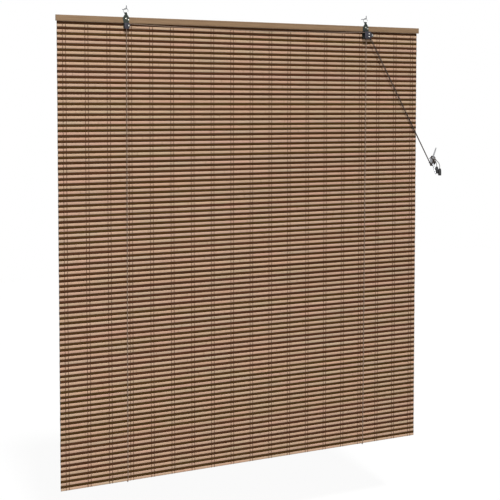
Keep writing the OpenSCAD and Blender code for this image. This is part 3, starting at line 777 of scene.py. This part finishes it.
# warp threads, woven over the slats and down into the grooves
threadWork = {
    "pairs": 19,
    "gap": 11 * mm,
    "width": 1.6 * mm,
    "thick": 0.6 * mm,
    "dip": 1.0 * mm,
    "backDip": 0.35 * mm,
    "shoulder": 1.6 * mm,
    "dark": (0.1, shade(58, 34, 20)),  # place in the twist, and tint there
    "pale": (0.8, shade(92, 58, 36)),
    "rough": (0.7, 0.9),
    "fuzz": 900.0,
}
warpYarn, tree, shader, vector = newFinish("warpYarn", Specular_IOR_Level=0.1, Sheen_Weight=0.05)
ply = put(tree, "TexWave", {"Scale": 260.0, "Distortion": 1.2, "Detail": 1.0}, bands_direction="DIAGONAL")
tree.links.new(vector, ply.inputs["Vector"])
feed(tree, shader, Base_Color=ramp(tree, ply.outputs["Fac"], [threadWork["dark"], threadWork["pale"]]),
     Roughness=fromNoise(tree, noise(tree, vector, threadWork["fuzz"]), *threadWork["rough"]))
bumped(tree, shader, ply.outputs["Fac"], strength=0.6, distance=0.2 * mm)
threadLow, threadHigh = boxOf("warp_threads")


def threadPath(face, top):
    # (y, z) pairs; face is -1 along the front and 1 along the back
    out = face * threadWork["thick"] / 2
    shoulder = threadWork["shoulder"]
    path = [(matHigh.y - slatWork["light"]["depth"] / 2, matLow.z - threadWork["thick"] / 2)]
    for k in range(slatWork["pairs"]):
        for kind, rise in (("light", 0.0), ("dark", darkRise)):
            low = matLow.z + k * slatPitch + rise
            high = low + slatWork[kind]["height"]
            if face < 0:
                surface = matHigh.y - slatWork[kind]["depth"]
                sunk = matHigh.y - slatWork["dark"]["depth"] + threadWork["dip"]
            else:
                surface = matHigh.y
                sunk = matHigh.y - threadWork["backDip"]
            path += [(surface + out, low + shoulder), (surface + out, high - shoulder)]
            path.append((sunk + out, high + groove / 2))
    path = [point for point in path if point[1] < top]
    return path + [(path[-1][0], top)]


def threadPiece(name, path):
    bm = bmesh.new()
    ring = bmesh.ops.create_circle(bm, segments=4, radius=math.sqrt(0.5), cap_ends=True)["verts"]
    turnVerts(bm, ring, math.radians(45), "Z")  # a square of side 1
    bmesh.ops.scale(bm, vec=(threadWork["width"], threadWork["thick"], 1), verts=ring)
    bmesh.ops.translate(bm, vec=(threadLow.x + threadWork["width"] / 2, *path[0]), verts=ring)
    for start, end in zip(path, path[1:]):
        ring = extendRing(bm, ring, (0, end[0] - start[0], end[1] - start[1]))
    bmesh.ops.contextual_create(bm, geom=ringEdges(ring))
    closeUp(bm)
    piece = meshPiece(name, bm, warpYarn, "blind", "warp_thread", "warp_threads", sharp=60)
    row = threadHigh.x - threadLow.x - threadWork["width"] - threadWork["gap"]
    pairStep = row / (threadWork["pairs"] - 1)
    for label, count, step in (("pair", 2, threadWork["gap"]), ("row", threadWork["pairs"], pairStep)):
        array = piece.modifiers.new(label, "ARRAY")
        array.count = count
        array.use_relative_offset = False
        array.use_constant_offset = True
        array.constant_offset_displace = (step, 0, 0)


threadPiece("frontThreads", threadPath(-1, boxOf("head_rail")[0].z))
threadPiece("backThreads", threadPath(1, matHigh.z))
print("warp threads woven")

# head rail and staples
railWork = {
    "dark": (136, 108, 80),
    "pale": (158, 130, 100),
    "drift": (0.93, 0.9, 0.86, 1.0),
    "tone": 0.31,
    "grain": 520.0,
    "gloss": (0.42, 0.6),
    "rounding": 0.6 * mm,
    "staple": 0.18 * mm,
}
battenWood, tree, shader, vector = newFinish("battenWood", Specular_IOR_Level=0.35)
grain = useGroup(tree, fibre, vector, Tone=railWork["tone"], Grain=railWork["grain"])
colours = [shade(*railWork[tone]) for tone in ("dark", "pale")]
colour = ramp(tree, grain["Streak"], list(zip(noiseSpan, colours)))
drift = fromNoise(tree, grain["Drift"], 0.0, 0.6)
feed(tree, shader, Base_Color=blendColours(tree, "MULTIPLY", drift, colour, railWork["drift"]),
     Roughness=fromNoise(tree, grain["Streak"], *railWork["gloss"]))
bumped(tree, shader, grain["Streak"], strength=0.4, distance=0.15 * mm)
refinedCopy("headRail", "head_rail", battenWood, "blind", "stained_batten", railWork["rounding"], segments=3)
stapleWire = metalFinish("stapleWire", (150, 152, 156), (196, 198, 202), rough=0.3, scale=900.0)
refinedCopy("matStaples", "mat_staples", stapleWire, "blind", "staple_wire", railWork["staple"])
refinedCopy("cordStaples", "cord_staples", stapleWire, "blind", "staple_wire", railWork["staple"])
print("rail and staples dressed")

# hooks and rings
hookWork = {
    "bend": 4 * mm,
    "bendSteps": 10,
    "sides": 20,
    "lap": 0.3 * mm,  # the plain wire ends this far inside the wall
    "tip": ((0.55, 0.92), (0.3, 0.74), (0.15, 0.5)),  # rise in radii, and how far it narrows
    "thread": 1.4 * mm,  # its mean radius
}
ringWork = {"sides": 14, "steps": 48}
wallThread = {
    "pitch": 1.6 * mm,
    "deep": 0.35 * mm,
    "steps": 16,  # to a turn
    "point": 5 * mm,
    "waist": (0.55, 0.4),  # narrowed to this share, with this share of the point left
}
hookSteel = metalFinish("hookSteel", (110, 112, 114), (148, 150, 152), rough=0.26, scale=400.0)


def woodThread(bm, place, mean, end):
    # a screw thread from the wall's face inwards, on a plain core that runs out to a point
    pitch, steps, point = wallThread["pitch"], wallThread["steps"], wallThread["point"]
    root, crest = mean - wallThread["deep"] / 2, mean + wallThread["deep"] / 2
    turns = int((end - point) / pitch)
    ridge = ((root, 0), (crest, pitch / 2), (root, pitch))
    verts = [bm.verts.new(place + Vector((radius, y, 0))) for radius, y in ridge]
    edges = [bm.edges.new(pair) for pair in zip(verts, verts[1:])]
    bmesh.ops.spin(bm, geom=verts + edges, cent=place, axis=inward, angle=2 * math.pi * turns,
                   steps=steps * turns, dvec=(0, pitch / steps, 0))
    narrow, left = wallThread["waist"]
    core = ((0, 0), (root, 0), (root, end - point), (root * narrow, end - point * left), (0, end))
    turned(bm, core, place, inward, steps)


def hookPiece(name, node):
    low, high = boxOf(node)
    middle, radius = roundPlace(node)
    x, front = middle.x, low.y + radius
    bend, lap = hookWork["bend"], hookWork["lap"]
    bm = bmesh.new()
    ring = bmesh.ops.create_circle(bm, segments=hookWork["sides"], radius=radius, cap_ends=True)["verts"]
    turnVerts(bm, ring, math.radians(90), "X")
    bmesh.ops.translate(bm, vec=(x, lap, 0), verts=ring)
    ring = extendRing(bm, ring, (0, front + bend - lap, 0))
    last = bmesh.ops.spin(bm, geom=ring + ringEdges(ring), cent=(x, front + bend, bend), axis=(1, 0, 0),
                          angle=-math.pi / 2, steps=hookWork["bendSteps"])["geom_last"]
    ring = extendRing(bm, vertsIn(last), (0, 0, high.z - bend - radius))
    for share, grow in hookWork["tip"]:
        ring = extendRing(bm, ring, (0, 0, radius * share), grow)
    bmesh.ops.contextual_create(bm, geom=ringEdges(ring))
    woodThread(bm, Vector((x, 0, 0)), hookWork["thread"], high.y)
    closeUp(bm)
    meshPiece(name, bm, hookSteel, "blind", "hook_wire", node, sharp=50)


def ringPiece(name, node):
    low, high = boxOf(node)
    middle, radius = roundPlace(node)
    wire = (high.y - low.y) / 2
    bm = bmesh.new()
    ring = bmesh.ops.create_circle(bm, segments=ringWork["sides"], radius=wire)["verts"]
    bmesh.ops.translate(bm, vec=middle + Vector((radius - wire, 0, 0)), verts=ring)
    bmesh.ops.spin(bm, geom=ring + ringEdges(ring), cent=middle, axis=inward, angle=2 * math.pi,
                   steps=ringWork["steps"], use_merge=True)
    closeUp(bm)
    meshPiece(name, bm, hookSteel, "blind", "hook_wire", node)


for side in ("left", "right"):
    hookPiece(side + "Hook", side + "_hook")
    ringPiece(side + "Ring", side + "_ring")
print("hooks and rings made")

# hangers, cheeks, sheaves and the cord lock
pulleyRounding = {"sheet": 0.22 * mm, "sheave": 0.12 * mm, "roller": 0.2 * mm, "cam": 0.1 * mm}
hangerSteel = metalFinish("hangerSteel", (48, 53, 50), (68, 74, 69), rough=0.46, scale=320.0)
cheekSteel = metalFinish("cheekSteel", (60, 59, 66), (78, 77, 84), rough=0.44, scale=320.0)
sheaveSteel = metalFinish("sheaveSteel", (74, 76, 80), (118, 120, 124), rough=0.34, scale=500.0)
brightRivet = metalFinish("brightRivet", (172, 171, 163), (212, 211, 202), rough=0.22, scale=900.0)
for side in ("left", "right"):
    for name, finish in (("Hanger", hangerSteel), ("Cheek", cheekSteel)):
        refinedCopy(side + name, side + "_" + name.lower(), finish, "blind", "dark_steel",
                    pulleyRounding["sheet"])
for side in ("left", "rear", "front"):
    refinedCopy(side + "Sheave", side + "_sheave", sheaveSteel, side + "_sheave_body", "sheave_steel",
                pulleyRounding["sheave"])
refinedCopy("guideRoller", "guide_roller", sheaveSteel, "guide_roller_body", "sheave_steel",
            pulleyRounding["roller"])
refinedCopy("lockCam", "lock_cam", sheaveSteel, "lock_cam_body", "sheave_steel",
            pulleyRounding["cam"], segments=1)

rivetWork = {
    "dome": ((0.0, 0.0), (0.35, 0.04), (0.62, 0.16), (0.84, 0.4), (0.97, 0.74), (1.0, 1.0)),
    "neck": 0.72,  # of the head's radius
}


def rivetPiece(name, node, cheek):
    low, high = boxOf(node)
    middle, radius = roundPlace(node)
    rise = boxOf(cheek)[0].y - low.y
    neck, seat = radius * rivetWork["neck"], high.y - rise / 2
    outline = [(across * radius, low.y + down * rise) for across, down in rivetWork["dome"]]
    outline += [(neck, low.y + rise), (neck, seat), (radius, seat), (radius, high.y), (0, high.y)]
    bm = bmesh.new()
    turned(bm, outline, Vector((middle.x, 0, middle.z)), inward)
    closeUp(bm)
    meshPiece(name, bm, brightRivet, "blind", "bright_rivet", node)


rivetPiece("leftAxle", "left_axle", "left_cheek")
rivetPiece("rightAxle", "right_axle", "right_cheek")
rivetPiece("guidePin", "guide_pin", "right_cheek")
rivetPiece("camPivot", "cam_pivot", "right_cheek")

screwWork = {
    "step": (9 * mm, 4 * mm),  # right and down, from the first screw to the second
    "head": 2.9 * mm,
    "rise": 1.6 * mm,
    "seat": 0.55,  # the middle of the head stands this much of its rise in front of its seat
    "dome": 0.3,  # in radii
    "shank": 1.5 * mm,
    "sides": 16,
}
crossWork = {"faces": 5, "arm": 0.1, "reach": 0.5, "rim": 0.99, "deep": 0.45}  # on a head of radius 1


def crossHead(bm, place, radius, rise, domed):
    # a head that faces the viewer, with a cross sunk in it
    count = crossWork["faces"]
    verts = bmesh.ops.create_grid(bm, x_segments=count, y_segments=count, size=1.0)["verts"]
    middles = {face: face.calc_center_median() for vert in verts for face in vert.link_faces}
    cross = [face for face, middle in middles.items()
             if min(abs(middle.x), abs(middle.y)) < crossWork["arm"] and middle.length < crossWork["reach"]]
    for vert in verts:
        if max(abs(vert.co.x), abs(vert.co.y)) > crossWork["rim"]:
            vert.co = vert.co.normalized()
        vert.co.z = domed * (1 - vert.co.length_squared)
    rim = [edge for edge in {edge for face in middles for edge in face.edges} if edge.is_boundary]
    base = vertsIn(bmesh.ops.extrude_edge_only(bm, edges=rim)["geom"])
    for vert in base:
        vert.co.z = -rise / radius + domed
    bmesh.ops.contextual_create(bm, geom=ringEdges(base))
    sunk = vertsIn(bmesh.ops.extrude_face_region(bm, geom=cross)["geom"])
    bmesh.ops.translate(bm, vec=(0, 0, -crossWork["deep"]), verts=sunk)
    bmesh.ops.delete(bm, geom=cross, context="FACES")
    head = list(set(verts) | set(base) | set(sunk))
    bmesh.ops.scale(bm, vec=(radius, radius, radius), verts=head)
    turnVerts(bm, head, math.radians(90), "X")
    turnVerts(bm, head, random.uniform(0, math.pi), "Y")
    bmesh.ops.translate(bm, vec=place, verts=head)


def hangerScrews(name, node):
    low, high = boxOf(node)
    head, rise, shank = screwWork["head"], screwWork["rise"], screwWork["shank"]
    across, down = screwWork["step"]
    bm = bmesh.new()
    for k in range(2):
        seat = Vector((low.x + head + across * k, low.y + rise, high.z - head - down * k))
        crossHead(bm, seat - inward * rise * screwWork["seat"], head, rise, screwWork["dome"])
        length = high.y - seat.y
        turned(bm, ((0, 0), (shank, 0), (shank, length), (0, length)), seat, inward, screwWork["sides"])
    closeUp(bm)
    meshPiece(name, bm, brightRivet, "blind", "bright_rivet", node)


hangerScrews("leftHangerScrews", "left_hanger_screws")
hangerScrews("rightHangerScrews", "right_hanger_screws")
print("pulleys put together")

# cleat
cleatWork = {"voxel": 0.55 * mm, "smoothing": 6, "dark": (140, 141, 144), "pale": (190, 191, 194)}
castMetal = metalFinish("castMetal", cleatWork["dark"], cleatWork["pale"], rough=0.34, scale=180.0,
                        strength=0.15, depth=0.1 * mm)
cleatPiece = meshPiece("cleatHorns", cadCopy("cleat"), castMetal, "blind", "cleat_metal", "cleat")
cast = cleatPiece.modifiers.new("cast", "REMESH")
cast.mode = "VOXEL"
cast.voxel_size = cleatWork["voxel"]
cast.use_smooth_shade = True
soften = cleatPiece.modifiers.new("soften", "SMOOTH")
soften.factor = 0.5
soften.iterations = cleatWork["smoothing"]

cleatScrewWork = {
    "apart": 18 * mm,
    "head": 3.5 * mm,
    "rise": 0.4 * mm,
    "dome": 0.02,  # in radii
    "shank": 1.75 * mm,
    "sink": (0.3 * mm, 2 * mm),  # from the face of the head, where its cone begins and ends
    "threadIn": 0.1 * mm,  # from the shank's radius in to the thread's mean one
    "sides": 20,
}


def cleatScrews(name, node):
    low, high = boxOf(node)
    middle = middleOf(node)
    head, shank = cleatScrewWork["head"], cleatScrewWork["shank"]
    coneStart, coneEnd = [low.y + sink for sink in cleatScrewWork["sink"]]
    outline = ((0, coneStart), (head, coneStart), (shank, coneEnd), (shank, 0), (0, 0))
    bm = bmesh.new()
    for way in (-1, 1):
        place = Vector((middle.x, 0, middle.z + way * cleatScrewWork["apart"] / 2))
        crossHead(bm, place + inward * low.y, head, cleatScrewWork["rise"], cleatScrewWork["dome"])
        turned(bm, outline, place, inward, cleatScrewWork["sides"])
        woodThread(bm, place, shank - cleatScrewWork["threadIn"], high.y)
    closeUp(bm)
    meshPiece(name, bm, stapleWire, "blind", "bright_rivet", node)


cleatScrews("cleatScrews", "cleat_screws")
print("cleat cast")

# floor, world and lamps
stageWork = {
    "below": 0.27,  # from the object's foot down to the floor
    "size": 14.0,
    "glow": 0.915,
    "matt": 0.3,  # how much light the floor gives back
    "seenMatt": 0.1,  # and how much of it the camera sees
    "ambient": 0.14,
}
bm = bmesh.new()
bmesh.ops.create_grid(bm, x_segments=1, y_segments=1, size=stageWork["size"] / 2)
bmesh.ops.translate(bm, vec=(0, 0, cadLow[2] - stageWork["below"]), verts=bm.verts)
mesh = bpy.data.meshes.new("paleFloor")
bm.to_mesh(mesh)
bm.free()
paleFloor = bpy.data.objects.new("paleFloor", mesh)
scene.collection.objects.link(paleFloor)


def seenWhite(tree):
    # 1 where the camera, a reflection or glass looks at it
    rays = tree.nodes.new("ShaderNodeLightPath").outputs
    seen = math2(tree, "ADD", rays["Is Camera Ray"], rays["Is Glossy Ray"])
    return math2(tree, "MINIMUM", math2(tree, "ADD", seen, rays["Is Transmission Ray"]), 1.0)


# white to the eye, less where the object's shadow lies
floorPaint = bpy.data.materials.new("floorPaint")
floorPaint.use_nodes = True
tree = floorPaint.node_tree
tree.nodes.clear()
seen = seenWhite(tree)
matt = put(tree, "BsdfDiffuse")
tree.links.new(spread(tree, seen, 0.0, 1.0, stageWork["matt"], stageWork["seenMatt"]), matt.inputs["Color"])
glow = put(tree, "Emission")
tree.links.new(math2(tree, "MULTIPLY", seen, stageWork["glow"]), glow.inputs["Strength"])
both = put(tree, "AddShader")
tree.links.new(matt.outputs[0], both.inputs[0])
tree.links.new(glow.outputs[0], both.inputs[1])
tree.links.new(both.outputs[0], put(tree, "OutputMaterial").inputs[0])
mesh.materials.append(floorPaint)

studio = bpy.data.worlds.new("studio")
studio.use_nodes = True
tree = studio.node_tree
background = tree.nodes["Background"]
background.inputs["Color"].default_value = (1, 1, 1, 1)
strength = spread(tree, seenWhite(tree), 0.0, 1.0, stageWork["ambient"], 1.0)
tree.links.new(strength, background.inputs["Strength"])
scene.world = studio

lampWork = {
    "key": {"place": (-0.85, -3.4, 2.9), "aim": (0, 0, -0.8), "angle": 6, "power": 2.2},
    "left": {"place": (-1.5, -2.6, 0.5), "aim": (-0.3, 0, -0.5), "size": (1.4, 1.4), "power": 16},
    "panel": {"place": (-1.6, -4.45, -0.35), "aim": (0.85, 0, -0.6), "size": (1.0, 2.0), "power": 25},
    "back": {"place": (1.2, 3.4, 1.6), "aim": (0, 0, -0.8), "angle": 60, "power": 1.4},
}
for name, work in lampWork.items():
    light = bpy.data.lights.new(name + "Lamp", "SUN" if "angle" in work else "AREA")
    light.energy = work["power"]
    if "angle" in work:
        light.angle = math.radians(work["angle"])
    else:
        light.shape = "RECTANGLE"
        light.size, light.size_y = work["size"]
    lamp = bpy.data.objects.new(name + "Lamp", light)
    lamp.location = work["place"]
    way = Vector(work["aim"]) - Vector(work["place"])
    lamp.rotation_euler = way.to_track_quat("-Z", "Y").to_euler()
    scene.collection.objects.link(lamp)
print("lamps set")
